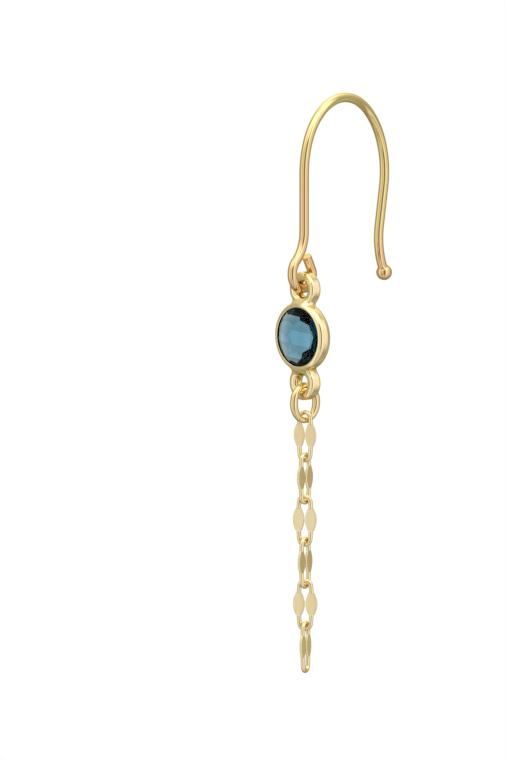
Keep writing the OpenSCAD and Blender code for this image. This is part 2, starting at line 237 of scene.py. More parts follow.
class Nodes:
    """A node tree that is filled from Python."""

    def __init__(self, tree):
        self.tree = tree
        tree.nodes.clear()

    def add(self, kind, settings=None, inputs=None, out=0):
        """A node of one kind, with its settings made first and its sockets then filled."""
        node = self.tree.nodes.new(kind)
        for key, value in (settings or {}).items():
            if key == "stops":
                self.set_stops(node.color_ramp, value)
            else:
                setattr(node, key, value)
        for key, value in (inputs or {}).items():
            self.fill(self.find(node.inputs, key), value)
        return Shade(self, self.find(node.outputs, out))

    def maths(self, operation, *values):
        """A Math node on values and numbers, in the order that the operation takes them."""
        return self.add("ShaderNodeMath", {"operation": operation}, dict(enumerate(values)))

    @staticmethod
    def set_stops(ramp, stops):
        while len(ramp.elements) < len(stops):
            ramp.elements.new(1.0)
        for element, (place, tone) in zip(ramp.elements, stops):
            element.position = place
            element.color = (*tone, 1.0)

    @staticmethod
    def find(sockets, key):
        """The socket with this number, or the enabled one with this name."""
        if isinstance(key, int):
            return sockets[key]
        return next(s for s in sockets if s.name == key and s.enabled)

    def fill(self, socket, value):
        if isinstance(value, Shade):
            self.tree.links.new(value.socket, socket)
        elif socket.type == "RGBA" and len(value) == 3:
            socket.default_value = (*value, 1.0)
        else:
            socket.default_value = value

    def place(self):
        """Position in the object's own frame, in metres."""
        return self.add("ShaderNodeTexCoord", out="Object")

    def split(self, vector):
        """The three parts of a vector."""
        return [
            self.add("ShaderNodeSeparateXYZ", inputs={0: vector}, out=part) for part in range(3)
        ]

    def along(self, vector, axes):
        """How far a vector reaches along each of the axes."""
        kind, settings = "ShaderNodeVectorMath", {"operation": "DOT_PRODUCT"}
        return [
            self.add(kind, settings, {0: vector, 1: tuple(axis)}, out="Value") for axis in axes
        ]

    def noise(self, where, per_metre, stretch=(1, 1, 1)):
        """Soft noise from 0 to 1, with so many spots per metre along a stretch of 1."""
        spread = self.add(
            "ShaderNodeVectorMath",
            {"operation": "MULTIPLY"},
            {0: where, 1: [per_metre * part for part in stretch]},
        )
        inputs = {"Vector": spread, "Scale": 1.0, "Detail": 2.0}
        return self.add("ShaderNodeTexNoise", inputs=inputs, out="Fac")

    def bump(self, height, strength):
        inputs = {"Height": height, "Strength": strength, "Distance": BUMP_DEPTH}
        return self.add("ShaderNodeBump", inputs=inputs, out="Normal")

    def output(self, kind, surface, volume=None):
        """Links the closing shaders to the tree's output."""
        node = self.tree.nodes.new(kind)
        self.fill(node.inputs["Surface"], surface)
        if volume:
            self.fill(node.inputs["Volume"], volume)


def new_material(name):
    material = bpy.data.materials.new(name)
    material.use_nodes = True
    return material, Nodes(material.node_tree)


# Materials

YELLOW_GOLD = (0.86, 0.68, 0.38)
# Olive, rosy and greenish are painted reflections of coloured light on the hook, whose gold is one
# tone
PAINTED_OLIVE_REFLECTION = (0.81, 0.64, 0.30)
PAINTED_ROSY_REFLECTION = (0.85, 0.60, 0.33)
PAINTED_GREENISH_REFLECTION = (0.98, 0.84, 0.46)
CAST_GOLD = (0.95, 0.79, 0.48)
PALE_GOLD = (0.96, 0.82, 0.54)
LEAF_GOLD = (0.90, 0.76, 0.46)
EDGE_GOLD = (0.62, 0.50, 0.24)
# Painted shade: near black for the seat behind the stone, which is gold
PAINTED_SEAT_SHADE = (0.02, 0.03, 0.035)
WHITE = (1.0, 1.0, 1.0)
BUMP_DEPTH = 0.01 * MM

# The hook's painted reflection tones, and the jump ring's own yellow, change between these heights,
# and between two places along Y
JUMP_RING_TO_HOOK = (-20 * MM, -18 * MM)
BALL_TO_TAIL = (-12.4 * MM, -11.4 * MM)
FRONT_TO_TAIL = (-2 * MM, 2 * MM)
STEM_TO_ARCH = (-6.5 * MM, -4 * MM)
ARCH_TO_CROWN = (-2 * MM, 0.5 * MM)

# The painted shade in the seat starts and ends at these depths behind the lip, and so far past the
# stone
SEAT_START = (0.1 * MM, 0.16 * MM)
SEAT_END = (0.6 * MM, 0.52 * MM)
SEAT_SIDE = (0.09 * MM, 0.04 * MM)

# How the stone bends, mirrors and absorbs light
TOPAZ_BEND = 1.62
FACET_MIRROR = (0.06, 0.07, 0.08)
TINT_PER_METRE = 1250.0


def solid_gold(n, tone, pattern, smooth, rough, normal=None):
    """Gold whose roughness follows a pattern, from smooth where it is 0 to rough where it is 1."""
    inputs = {
        "Base Color": tone,
        "Metallic": 1.0,
        "Specular Tint": EDGE_GOLD,
        "Roughness": smooth + (rough - smooth) * pattern,
    }
    if normal:
        inputs["Normal"] = normal
    return n.add("ShaderNodeBsdfPrincipled", inputs=inputs)


def polished_wire():
    """Drawn wire with painted reflections: greenish at the crown, olive in arch and tail, rosy in
    stem, loop and ball.

    The jump ring, which hangs lower than all of these, is yellow.
    """
    material, n = new_material("polished_wire")
    where = n.place()
    behind, height = n.split(where)[1:]
    # Painted reflections: the hook's tone follows its height and place, as coloured light fell on
    # it
    tail = behind.between(*FRONT_TO_TAIL) * height.between(*BALL_TO_TAIL)
    olive = n.maths("MAXIMUM", tail, height.between(*STEM_TO_ARCH))
    below_crown = olive.blend(PAINTED_ROSY_REFLECTION, PAINTED_OLIVE_REFLECTION)
    hook = height.between(*ARCH_TO_CROWN).blend(below_crown, PAINTED_GREENISH_REFLECTION)
    tone = height.between(*JUMP_RING_TO_HOOK).blend(YELLOW_GOLD, hook)
    ripple = n.noise(where, per_metre=700.0, stretch=(1, 1, 0.25))
    shader = solid_gold(n, tone, ripple, smooth=0.05, rough=0.08)
    n.output("ShaderNodeOutputMaterial", shader)
    return material


def polished_casting(cup, stone, axes, centre):
    """Cast gold, polished by hand outside, with near-black shade painted into the seat behind the
    stone.
    """
    material, n = new_material("polished_casting")
    where = n.place()
    offset = n.add("ShaderNodeVectorMath", {"operation": "SUBTRACT"}, {0: where, 1: tuple(centre)})
    across, rise, depth = n.along(offset, axes)
    from_axis = n.maths("SQRT", across * across + rise * rise)
    lip, stone_r = cup.eye_setback, stone.stone_d / 2
    behind_lip = depth.between(*(lip - place for place in SEAT_START))
    on_ledge = depth.between(*(lip - place for place in SEAT_END))
    beside_stone = from_axis.between(*(stone_r + place for place in SEAT_SIDE))
    # Painted shade: the seat behind the stone is drawn near black instead of gold
    seat = behind_lip * on_ledge * beside_stone
    patches = n.noise(where, per_metre=500.0)
    pits = n.bump(n.noise(where, per_metre=2600.0), strength=0.2)
    tone = patches.blend(CAST_GOLD, PALE_GOLD)
    gold = solid_gold(n, tone, patches, smooth=0.11, rough=0.17, normal=pits)
    painted_shade = n.add("ShaderNodeBsdfDiffuse", inputs={"Color": PAINTED_SEAT_SHADE})
    shader = n.add("ShaderNodeMixShader", inputs={0: seat, 1: gold, 2: painted_shade})
    n.output("ShaderNodeOutputMaterial", shader)
    return material


def brushed_leaf():
    """Pressed gold with fine brushing along the leaf."""
    material, n = new_material("brushed_leaf")
    where = n.place()
    brushing = n.noise(where, per_metre=9000.0, stretch=(1, 1, 0.06))
    scratches = n.bump(brushing, strength=0.15)
    tone = n.noise(where, per_metre=600.0).blend(LEAF_GOLD, PALE_GOLD)
    shader = solid_gold(n, tone, brushing, smooth=0.16, rough=0.28, normal=scratches)
    n.output("ShaderNodeOutputMaterial", shader)
    return material


def clear_topaz(tint):
    """Greyish blue stone: clear, and darker the further light goes through it."""
    material, n = new_material("clear_topaz")
    shader = n.add(
        "ShaderNodeBsdfPrincipled",
        inputs={
            "Base Color": WHITE,
            "Roughness": 0.0,
            "IOR": TOPAZ_BEND,
            "Specular Tint": FACET_MIRROR,
            "Transmission Weight": 1.0,
        },
    )
    depth = n.add(
        "ShaderNodeVolumeAbsorption", inputs={"Color": tuple(tint), "Density": TINT_PER_METRE}
    )
    n.output("ShaderNodeOutputMaterial", shader, depth)
    return material


# Meshes


def add_piece(name, points, faces, material, body, node, normals=None):
    """A mesh object that rides on a body and stands for one node of the packed model."""
    mesh = bpy.data.meshes.new(name)
    mesh.from_pydata(np.asarray(points).tolist(), [], [list(map(int, f)) for f in faces])
    mesh.validate()
    if normals is not None:
        mesh.shade_smooth()
        mesh.normals_split_custom_set_from_vertices(np.asarray(normals).tolist())
    mesh.materials.append(material)
    obj = bpy.data.objects.new(name, mesh)
    bpy.context.scene.collection.objects.link(obj)
    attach(obj, body)
    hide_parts(node)


def area_normals(points, faces):
    """Normals at the points, weighted by area, so that flats stay flat beside small rounds."""
    normals = np.zeros_like(points)
    for size in {len(f) for f in faces}:
        rows = np.array([f for f in faces if len(f) == size])
        corners = points[rows]
        ahead = np.roll(corners, -1, axis=1)
        area = np.cross(corners, ahead).sum(axis=1)
        for corner in range(size):
            np.add.at(normals, rows[:, corner], area)
    return normals / np.linalg.norm(normals, axis=1)[:, None]


def sweep(centres, lefts, ups, outlines, closed):
    """Points and faces of a shape drawn along a path, each section with its own outline."""
    count, sides = outlines.shape[:2]
    points = (
        centres[:, None]
        + outlines[:, :, :1] * lefts[:, None]
        + outlines[:, :, 1:] * ups[:, None]
    ).reshape(-1, 3)
    faces = []
    for i in range(count if closed else count - 1):
        here, there = i * sides, (i + 1) % count * sides
        for k in range(sides):
            m = (k + 1) % sides
            faces.append((here + k, here + m, there + m, there + k))
    if not closed:
        faces.append(tuple(range(sides - 1, -1, -1)))
        faces.append(tuple(range((count - 1) * sides, count * sides)))
    return points, faces


def round_outline(radii, sides):
    """Circles of the given radii."""
    a = np.arange(sides) * FULL_TURN / sides
    ring = np.stack([np.cos(a), np.sin(a)], axis=1)
    return np.asarray(radii)[:, None, None] * ring


def flat_outline(half_widths, half_heights, sides):
    """Bars with round edges; a bar as high as it is wide is a circle."""
    quarter = sides // 4
    a = np.linspace(-QUARTER, QUARTER, 2 * quarter)
    a = np.concatenate([a, a + math.pi])
    side = np.repeat([1.0, -1.0], 2 * quarter)
    hair = 0.002 * MM
    w, h = np.asarray(half_widths)[:, None], np.asarray(half_heights)[:, None]
    straight = np.maximum(w - h, hair)
    return np.stack([straight * side + h * np.cos(a), h * np.sin(a)], axis=2)


# The hook

HOOK_SIDES = 48
WIDE_STEP = math.radians(2)
TIGHT_STEP = math.radians(4)
BALL_STEPS = 20


def bend(centre, radius, start, end, step):
    """Places along a bend in the hook's plane, each with the side that it keeps to its left."""
    count = math.ceil(abs(end - start) / step)
    side = 1 if end < start else -1
    rows = []
    for i in range(count + 1):
        a = start + (end - start) * i / count
        out = np.array([math.cos(a), math.sin(a)])
        rows.append((centre + radius * out, side * out))
    return rows


def stem_place(sizes):
    """Where the wire's middle line comes straight down at the front, along Y."""
    return (sizes.side_bend - sizes.crown_bend) * math.sin(sizes.front_turn) - sizes.side_bend


def hook_places(sizes):
    """The wire's middle line from the cut end to the ball, as (y, z) and its left side."""
    front_turn, back_turn, turn = sizes.front_turn, sizes.back_turn, sizes.tail_turn
    crown = np.array([0.0, sizes.wire_d / 2 - sizes.crown_bend])
    spare = sizes.side_bend - sizes.crown_bend
    front = crown - spare * np.array([-math.sin(front_turn), math.cos(front_turn)])
    back = crown - spare * np.array([math.sin(back_turn), math.cos(back_turn)])
    stem = stem_place(sizes)
    low = sizes.wire_d / 2 - sizes.loop_drop
    loop = np.array([stem - sizes.loop_forward, low + sizes.loop_front])
    loop_back = np.array([loop[0] + sizes.loop_flat, low + sizes.loop_back])
    lean = sizes.neck_turn
    neck_bend = (sizes.loop_forward + sizes.loop_front * math.cos(lean)) / (1 - math.cos(lean))
    neck_height = (sizes.loop_front + neck_bend) * math.sin(lean)
    neck = np.array([stem - neck_bend, loop[1] + neck_height])
    end = sizes.loop_end
    end_out = np.array([math.cos(end), math.sin(end)])
    end_on = np.array([-math.sin(end), math.cos(end)])
    cut_end = loop_back + sizes.loop_back * end_out + sizes.end_length * end_on
    side = np.array([math.cos(turn), -math.sin(turn)])
    down = np.array([-math.sin(turn), -math.cos(turn)])
    tail = back + (sizes.side_bend + sizes.tail_bend) * side + sizes.tail_length * down
    below = math.pi + QUARTER
    over_front, over_back = QUARTER + front_turn, QUARTER - back_turn
    rows = [(cut_end, end_out)]
    rows += bend(loop_back, sizes.loop_back, FULL_TURN + end, below, TIGHT_STEP)
    rows += bend(loop, sizes.loop_front, below, math.pi - lean, TIGHT_STEP)
    rows += bend(neck, neck_bend, -lean, 0.0, TIGHT_STEP)[1:]
    rows += bend(front, sizes.side_bend, math.pi, over_front, WIDE_STEP)
    rows += bend(crown, sizes.crown_bend, over_front, over_back, WIDE_STEP)[1:]
    rows += bend(back, sizes.side_bend, over_back, -turn, WIDE_STEP)[1:]
    rows += bend(tail, sizes.tail_bend, math.pi - turn, math.pi + sizes.tail_flare, WIDE_STEP)
    return rows


def onward(left):
    """The way along the wire, from the side that it keeps to its left."""
    return np.array([left[1], -left[0]])


def bend_hook(sizes):
    """The whole hook, with a soft rim at its cut end and a ball at its tip."""
    wire_r, ball_r = sizes.wire_d / 2, sizes.ball_d / 2
    places = hook_places(sizes)
    cut_end, left = places[0]
    places.insert(1, (cut_end + sizes.rim_round * onward(left), left))
    radii = [wire_r - sizes.rim_round] + [wire_r] * (len(places) - 1)
    tip, left = places[-1]
    start = math.asin(wire_r / ball_r)
    for i in range(1, BALL_STEPS):
        a = start + (math.pi - start) * i / BALL_STEPS
        past_tip = ball_r * (math.cos(start) - math.cos(a))
        places.append((tip + past_tip * onward(left), left))
        radii.append(ball_r * math.sin(a))
    flat = np.array([place for place, _ in places])
    sides = np.array([side for _, side in places])
    zeros = np.zeros(len(places))
    centres = np.stack([zeros, flat[:, 0], flat[:, 1]], axis=1)
    lefts = np.stack([zeros, sides[:, 0], sides[:, 1]], axis=1)
    ups = np.tile([1.0, 0.0, 0.0], (len(places), 1))
    return sweep(centres, lefts, ups, round_outline(radii, HOOK_SIDES), closed=False)


# Places of the drop

DROP_ASIDE = 0.15 * MM
DROP_BEHIND = 0.3 * MM
EYE_GAP = 0.21 * MM
JUMP_GAP = 0.2 * MM
LINK_HANG = 0.84 * MM
LINK_PITCH = 3.475 * MM
LINK_TURNS = [math.radians(a) for a in (10, 88, 20, 92, 28, 101)]
LINK_ASIDES = [a * MM for a in (0.0, 0.0, -0.02, 0.01, 0.02, 0.05)]


class Drop:
    """Places of the hanging pieces, worked out from the hook's loop down."""

    def __init__(self, scene):
        hook, cup, chain = scene.earring_hook, scene.earring_cup, scene.earring_chain
        self.y = stem_place(hook) - hook.loop_forward + DROP_BEHIND
        loop_low = hook.wire_d / 2 - hook.loop_drop
        upper_eye = loop_low + hook.wire_d / 2 + EYE_GAP - cup.eye_hole_d / 2
        self.stone = upper_eye - cup.upper_reach
        lower_eye = self.stone - cup.lower_reach
        jump_top = lower_eye - cup.eye_hole_d / 2 + JUMP_GAP + chain.jump_wire_d
        self.jump = jump_top - chain.jump_height / 2
        jump_low = self.jump - (chain.jump_height - chain.jump_wire_d) / 2
        leaf_top = jump_low + LINK_HANG - chain.upper_arch
        self.first_leaf = leaf_top - chain.leaf_length / 2

    def facing(self, turn, z, aside=0.0):
        """Right, up and front of a piece that is turned about the vertical, and its centre."""
        right = np.array([math.cos(turn), math.sin(turn), 0.0])
        front = np.array([math.sin(turn), -math.cos(turn), 0.0])
        up = np.array([0.0, 0.0, 1.0])
        return np.array([right, up, front]), np.array([DROP_ASIDE + aside, self.y, z])


# The cup

SEAT_ROOM = 0.03 * MM
LEDGE_ROOM = 0.08 * MM
LIP_EDGE = 0.02 * MM
INNER_EDGE = 0.06 * MM
SETTLE_PASSES = 3
LEAST_STEEPNESS = 0.05


def soft_min(a, b, size):
    """The smaller of two distances, with a fillet where they meet."""
    near = np.maximum(size - np.abs(a - b), 0.0) / size
    return np.minimum(a, b) - near * near * size / 4


def rounded_corner(past_side, past_end, corner):
    """Distance to a corner that is rounded off, from the distances past its two walls."""
    qx, qy = past_side + corner, past_end + corner
    outside = np.hypot(np.maximum(qx, 0.0), np.maximum(qy, 0.0))
    return np.minimum(np.maximum(qx, qy), 0.0) + outside - corner


def cup_distance(cup, stone):
    """A function of x, y, z that is below 0 inside the gold; z points to the front."""
    lip = cup.eye_setback
    middle = lip - cup.cup_depth / 2
    girdle = lip - stone.sink
    seat_back = girdle - stone.girdle - LEDGE_ROOM
    seat_r = stone.stone_d / 2 + SEAT_ROOM
    back_r, opening_r = cup.back_hole_d / 2, cup.aperture_d / 2
    ledge = (seat_r - back_r) * math.tan(stone.rim_slope)
    wall = np.array([
        (middle - cup.cup_depth, back_r),
        (seat_back - ledge, back_r),
        (seat_back, seat_r),
        (girdle + SEAT_ROOM, seat_r),
        (lip - LIP_EDGE, opening_r),
        (lip + cup.cup_depth, opening_r),
    ])
    eye_r, hole_r = cup.eye_d / 2, cup.eye_hole_d / 2
    crest_r = (eye_r - cup.eye_round + hole_r + cup.hole_round) / 2

    def distance(x, y, z):
        r = np.hypot(x, y)
        corner = np.where(z > middle, cup.lip_round, cup.back_round)
        body = rounded_corner(r - cup.cup_d / 2, np.abs(z - middle) - cup.cup_depth / 2, corner)
        from_eye = np.hypot(x, y - np.where(y > 0, cup.upper_reach, -cup.lower_reach))
        inner = from_eye < crest_r
        past_wall = np.where(inner, hole_r - from_eye, from_eye - eye_r)
        eye_corner = np.where(inner, cup.hole_round, cup.eye_round)
        eye = rounded_corner(past_wall, np.abs(z) - cup.eye_depth / 2, eye_corner)
        solid = soft_min(body, eye, cup.solder)
        hollow = r - np.interp(z, wall[:, 0], wall[:, 1])
        return -soft_min(-solid, hollow, INNER_EDGE)

    return distance


def slopes(distance, points, reach):
    """Gradient of a distance at the points."""
    rows = []
    for axis in range(3):
        step = np.zeros(3)
        step[axis] = reach
        rows.append(distance(*(points + step).T) - distance(*(points - step).T))
    return np.stack(rows, axis=1) / (2 * reach)


def settle(distance, points, step):
    """Moves the net's points onto the surface, in short steps along the slope."""
    furthest = step / 3
    for _ in range(SETTLE_PASSES):
        rise = slopes(distance, points, step / 8)
        steep = np.maximum((rise * rise).sum(axis=1), LEAST_STEEPNESS)
        shift = (distance(*points.T) / steep)[:, None] * rise
        points = points - np.clip(shift, -furthest, furthest)
    return points


def crossed_edges(value, axes, axis, step):
    """Edges of the grid along one axis that go through the surface, and not on the grid's sides.

    Gives the first grid point of each, the place of the crossing, and whether it leads out.
    """
    first, last = [slice(None)] * 3, [slice(None)] * 3
    first[axis], last[axis] = slice(0, -1), slice(1, None)
    starts, ends = value[tuple(first)], value[tuple(last)]
    edges = np.argwhere((starts < 0) != (ends < 0))
    for other in (axis + 1) % 3, (axis + 2) % 3:
        edges = edges[(edges[:, other] > 0) & (edges[:, other] < value.shape[other] - 1)]
    start, end = starts[tuple(edges.T)], ends[tuple(edges.T)]
    places = np.stack([axes[i][edges[:, i]] for i in range(3)], axis=1)
    places[:, axis] += step * start / (start - end)
    return edges, places, start < 0


def cells_around(edges, axis):
    """The four cells round each edge, in order."""
    around = []
    for shift_b, shift_c in ((1, 1), (0, 1), (0, 0), (1, 0)):
        cell = edges.copy()
        cell[:, (axis + 1) % 3] -= shift_b
        cell[:, (axis + 2) % 3] -= shift_c
        around.append(tuple(cell.T))
    return around


def net_surface(distance, low, high, step):
    """Points, quads and normals on the surface where a distance is 0.

    Each cell of a grid that the surface goes through gets one point, and each edge of the grid
    that goes through the surface gets a quad between the four cells round it.
    """
    axes = [np.arange(a, b + step, step) for a, b in zip(low, high)]
    value = distance(*np.meshgrid(*axes, indexing="ij"))
    cells = tuple(size - 1 for size in value.shape)
    total, hits = np.zeros((*cells, 3)), np.zeros(cells)
    crossings = []
    for axis in range(3):
        edges, places, outward = crossed_edges(value, axes, axis, step)
        around = cells_around(edges, axis)
        for cell in around:
            np.add.at(total, cell, places)
            np.add.at(hits, cell, 1)
        crossings.append((around, outward))
    used = hits > 0
    number = -np.ones(cells, dtype=int)
    number[used] = np.arange(used.sum())
    quads = []
    for around, outward in crossings:
        corners = np.stack([number[cell] for cell in around], axis=1)
        quads.append(np.where(outward[:, None], corners, corners[:, ::-1]))
    points = settle(distance, total[used] / hits[used][:, None], step)
    normals = slopes(distance, points, step / 4)
    normals /= np.maximum(np.linalg.norm(normals, axis=1), TINY)[:, None]
    return points, np.concatenate(quads), normals


def cast_cup(cup, stone):
    """Cup and eyes in one casting, in the cup's own right, up and front."""
    reach_y = max(cup.upper_reach, cup.lower_reach) + cup.eye_d / 2
    lip = cup.eye_setback
    back = min(lip - cup.cup_depth, -cup.eye_depth / 2)
    spare = 3 * cup.net
    low = (-cup.cup_d / 2 - spare, -reach_y - spare, back - spare)
    high = (cup.cup_d / 2 + spare, reach_y + spare, lip + spare)
    return net_surface(cup_distance(cup, stone), low, high, cup.net)


# The stone

CROWN_REACH = 2
MAIN_FACETS = 8
GIRDLE_SIDES = 32

# Three facets that face almost one way give no corner, and these gaps count as none
LEAST_SPREAD = 1e-7
SAME_CORNER = 1e-6
ON_FACET = 1e-7


def stone_planes(sizes):
    """Every facet's plane as (normal, offset), with the girdle's front edge at z = 0."""
    radius = sizes.stone_d / 2
    dome = radius * radius / (2 * sizes.crown)
    c, s = math.cos(sizes.crown_turn), math.sin(sizes.crown_turn)
    planes = []
    for i in range(-CROWN_REACH, CROWN_REACH + 1):
        for j in range(-CROWN_REACH, CROWN_REACH + 1):
            x, y = i * sizes.facet, j * sizes.facet
            normal = np.array([(c * x - s * y) / dome, (s * x + c * y) / dome, 1.0])
            size = np.linalg.norm(normal)
            height = sizes.crown + (x * x + y * y) / (2 * dome)
            planes.append((*(normal / size), height / size))

    def ring(count, slope, r, depth, turn):
        """Facets that face the back at one slope and meet a circle of radius r at that depth."""
        for k in range(count):
            a = turn + FULL_TURN * k / count
            out, down = math.sin(slope), math.cos(slope)
            normal = (out * math.cos(a), out * math.sin(a), -down)
            planes.append((*normal, out * r + down * depth))

    ring(2 * MAIN_FACETS, sizes.rim_slope, radius, sizes.girdle, sizes.rim_turn)
    depth = sizes.girdle + (radius - sizes.parting) * math.tan(sizes.rim_slope)
    ring(MAIN_FACETS, sizes.main_slope, sizes.parting, depth, sizes.main_turn)
    depth += (sizes.parting - sizes.culet_r) * math.tan(sizes.main_slope)
    planes.append((0.0, 0.0, -1.0, depth))
    for k in range(GIRDLE_SIDES):
        a = FULL_TURN * (k + 0.5) / GIRDLE_SIDES
        planes.append((math.cos(a), math.sin(a), 0.0, radius * math.cos(math.pi / GIRDLE_SIDES)))
    return np.array(planes)


def cut_solid(planes):
    """Corners and faces of the convex solid behind all the planes."""
    trio = np.array(list(combinations(range(len(planes)), 3)))
    matrix = planes[trio, :3]
    solvable = np.abs(np.linalg.det(matrix)) > LEAST_SPREAD
    trio, matrix = trio[solvable], matrix[solvable]
    spots = np.linalg.solve(matrix, planes[trio, 3][:, :, None])[:, :, 0]
    behind_all = (spots @ planes[:, :3].T <= planes[:, 3] + TINY).all(axis=1)
    corners = []
    for spot in spots[behind_all]:
        if all(np.abs(spot - other).max() > SAME_CORNER for other in corners):
            corners.append(spot)
    corners = np.array(corners)
    faces = []
    for *normal, offset in planes:
        on = np.flatnonzero(np.abs(corners @ normal - offset) < ON_FACET)
        if len(on) < 3:
            continue
        spread = corners[on] - corners[on].mean(axis=0)
        along = spread[0]
        across = np.cross(normal, along)
        order = np.argsort(np.arctan2(spread @ across, spread @ along))
        faces.append(on[order].tolist())
    return corners, faces


# Ring and links

JUMP_SIDES = 32
JUMP_STEPS = 80
LINK_SIDES = 24
LEAF_STEPS = 24
ARCH_STEPS = 24
LEAF_FULLNESS = 1.1


def oval_ring(chain):
    """The jump ring in its own right and up: an oval of wire that is thicker at its two sides."""
    wide = (chain.jump_width - chain.jump_side_d) / 2
    high = (chain.jump_height - chain.jump_wire_d) / 2
    a = np.arange(JUMP_STEPS) * FULL_TURN / JUMP_STEPS
    across, rise, zeros = np.cos(a), np.sin(a), np.zeros(JUMP_STEPS)
    centres = np.stack([wide * across, high * rise, zeros], axis=1)
    outs = np.stack([across / wide, rise / high, zeros], axis=1)
    outs /= np.linalg.norm(outs, axis=1)[:, None]
    ups = np.tile([0.0, 0.0, -1.0], (JUMP_STEPS, 1))
    swell = (chain.jump_side_d - chain.jump_wire_d) * across * across
    radii = (chain.jump_wire_d + swell) / 2
    return sweep(centres, outs, ups, round_outline(radii, JUMP_SIDES), closed=True)


def leaf_link(chain):
    """One link in its own right and up: a loop whose two legs are pressed flat."""
    wire_r, leaf_r = chain.wire_d / 2, chain.leaf_thick / 2
    half_span, half_leaf = chain.leg_span / 2, chain.leaf_length / 2
    lean_c, lean_s = math.cos(chain.lean), math.sin(chain.lean)

    def arch(end, height):
        rise = height - wire_r
        r = (half_span * lean_c - rise * lean_s) / (1 - lean_s)
        rows = []
        for i in range(ARCH_STEPS + 1):
            a = chain.lean + (math.pi - 2 * chain.lean) * i / ARCH_STEPS
            x, z = r * math.cos(a), half_leaf + rise - r + r * math.sin(a)
            rows.append((x, end * z, math.cos(a), end * math.sin(a), wire_r, wire_r))
        return rows

    def leaf(side):
        rows = []
        for i in range(LEAF_STEPS + 1):
            t = -math.cos(math.pi * i / LEAF_STEPS)
            swell = (chain.leaf_width - chain.leaf_end) * (1 - t * t) ** LEAF_FULLNESS
            half_width = (chain.leaf_end + swell) / 2
            rows.append((side * half_span, t * half_leaf, side, 0.0, half_width, leaf_r))
        return rows

    def ramp(side, end):
        x = side * (half_span - chain.ramp * lean_s)
        return [(x, end * (half_leaf + chain.ramp), side, 0.0, wire_r, wire_r)]

    rows = leaf(1) + ramp(1, 1) + arch(1, chain.upper_arch) + ramp(-1, 1)
    rows += leaf(-1)[::-1] + ramp(-1, -1) + arch(-1, chain.lower_arch)[::-1] + ramp(1, -1)
    table = np.array(rows)
    zeros = np.zeros(len(rows))
    centres = np.stack([table[:, 0], table[:, 1], zeros], axis=1)
    outs = np.stack([table[:, 2], table[:, 3], zeros], axis=1)
    ups = np.tile([0.0, 0.0, -1.0], (len(rows), 1))
    outlines = flat_outline(table[:, 4], table[:, 5], LINK_SIDES)
    return sweep(centres, outs, ups, outlines, closed=True)


# The stage

# The tent's light, by degrees from the lens round to the picture's right
TENT = (
    (-180, (0.78, 0.80, 0.52)),
    (-135, (0.44, 0.43, 0.27)),
    (-108, (0.36, 0.35, 0.24)),
    (-92, (0.38, 0.37, 0.27)),
    (-80, (0.88, 0.87, 0.82)),
    (-66, (0.88, 0.87, 0.82)),
    (-52, (0.55, 0.51, 0.43)),
    (-34, (0.60, 0.59, 0.54)),
    (-20, (0.85, 0.83, 0.75)),
    (-6, (0.85, 0.83, 0.75)),
    (12, (0.42, 0.40, 0.31)),
    (22, (0.42, 0.40, 0.31)),
    (31, (1.0, 1.0, 0.97)),
    (48, (1.0, 1.0, 0.97)),
    (62, (0.52, 0.50, 0.43)),
    (84, (0.84, 0.82, 0.74)),
    (104, (0.32, 0.28, 0.20)),
    (113, (0.36, 0.33, 0.26)),
    (130, (0.44, 0.44, 0.36)),
    (152, (0.56, 0.57, 0.40)),
    (180, (0.78, 0.80, 0.52)),
)
TENT_STRENGTH = 1.3

# More light from above, less from below, and less low down behind, each between two angles
TOP_LIGHT, TOP_HEIGHTS = 1.1, (15, 60)
LOW_SHADE, LOW_HEIGHTS = 0.35, (-15, -60)
FAR_SHADE, FAR_SIDES, FAR_HEIGHTS = 0.45, (134, 148), (18, 4)

# The dark slit round the lens, in degrees
SLIT_HALF = 13
SLIT_LOW, SLIT_HIGH = -38, 28
SLIT_BLUR = 6
SLIT_LIGHT = 0.24

# The backdrop that shows through the stone, with a dimmer row below and one above
BACKDROP_SHADE, BACKDROP_EDGE = 0.9, (28, 62)
LOWER_SHADE, LOWER_ROW = 0.25, (-2, -6)
UPPER_SHADE, UPPER_ROW = 0.22, (2, 6)

# Light that has met more faces of the stone than this meets one even light
MANY_FACES = (3.2, 3.8)
INNER_LIGHT = 1.1
INNER_COLOUR = (1.0, 0.85, 0.6)

DEGREES_PER_RADIAN = math.degrees(1)
SENSOR_WIDTH_MM = 36.0
CLIP_NEAR, CLIP_FAR = 0.01, 100.0
FLOOR_HALF = 0.5


def view_axes(stage):
    """Right, up and back of the camera."""
    a, e = stage.azimuth, stage.elevation
    right = Vector((math.cos(a), math.sin(a), 0.0))
    back = Vector((math.sin(a) * math.cos(e), -math.cos(a) * math.cos(e), math.sin(e)))
    return right, back.cross(right), back


def round_share(degrees):
    """Share of the way round the tent, from straight behind the earring."""
    return (degrees + 180) * (1 / 360)


def tent_light(n, azimuth, elevation):
    """The tent's bright and dim cloths, with a dark upright slit where the lens looks in."""
    stops = [(round_share(degrees), tone) for degrees, tone in TENT]
    cloth = n.add(
        "ShaderNodeValToRGB", {"stops": stops}, {"Fac": round_share(azimuth)}, out="Color"
    )
    aside = n.maths("ABSOLUTE", azimuth)
    top = TOP_LIGHT * elevation.between(*TOP_HEIGHTS)
    low = LOW_SHADE * elevation.between(*LOW_HEIGHTS)
    far = FAR_SHADE * (aside.between(*FAR_SIDES) * elevation.between(*FAR_HEIGHTS))
    beside = aside.between(SLIT_HALF - SLIT_BLUR, SLIT_HALF + SLIT_BLUR)
    above = elevation.between(SLIT_HIGH - SLIT_BLUR, SLIT_HIGH + SLIT_BLUR)
    below = elevation.between(SLIT_LOW + SLIT_BLUR, SLIT_LOW - SLIT_BLUR)
    clear = n.maths("MAXIMUM", beside, n.maths("MAXIMUM", above, below))
    slit = SLIT_LIGHT + (1 - SLIT_LIGHT) * clear
    strength = (TENT_STRENGTH + top - low) * (1 - far) * slit
    return n.add("ShaderNodeBackground", inputs={"Color": cloth, "Strength": strength})


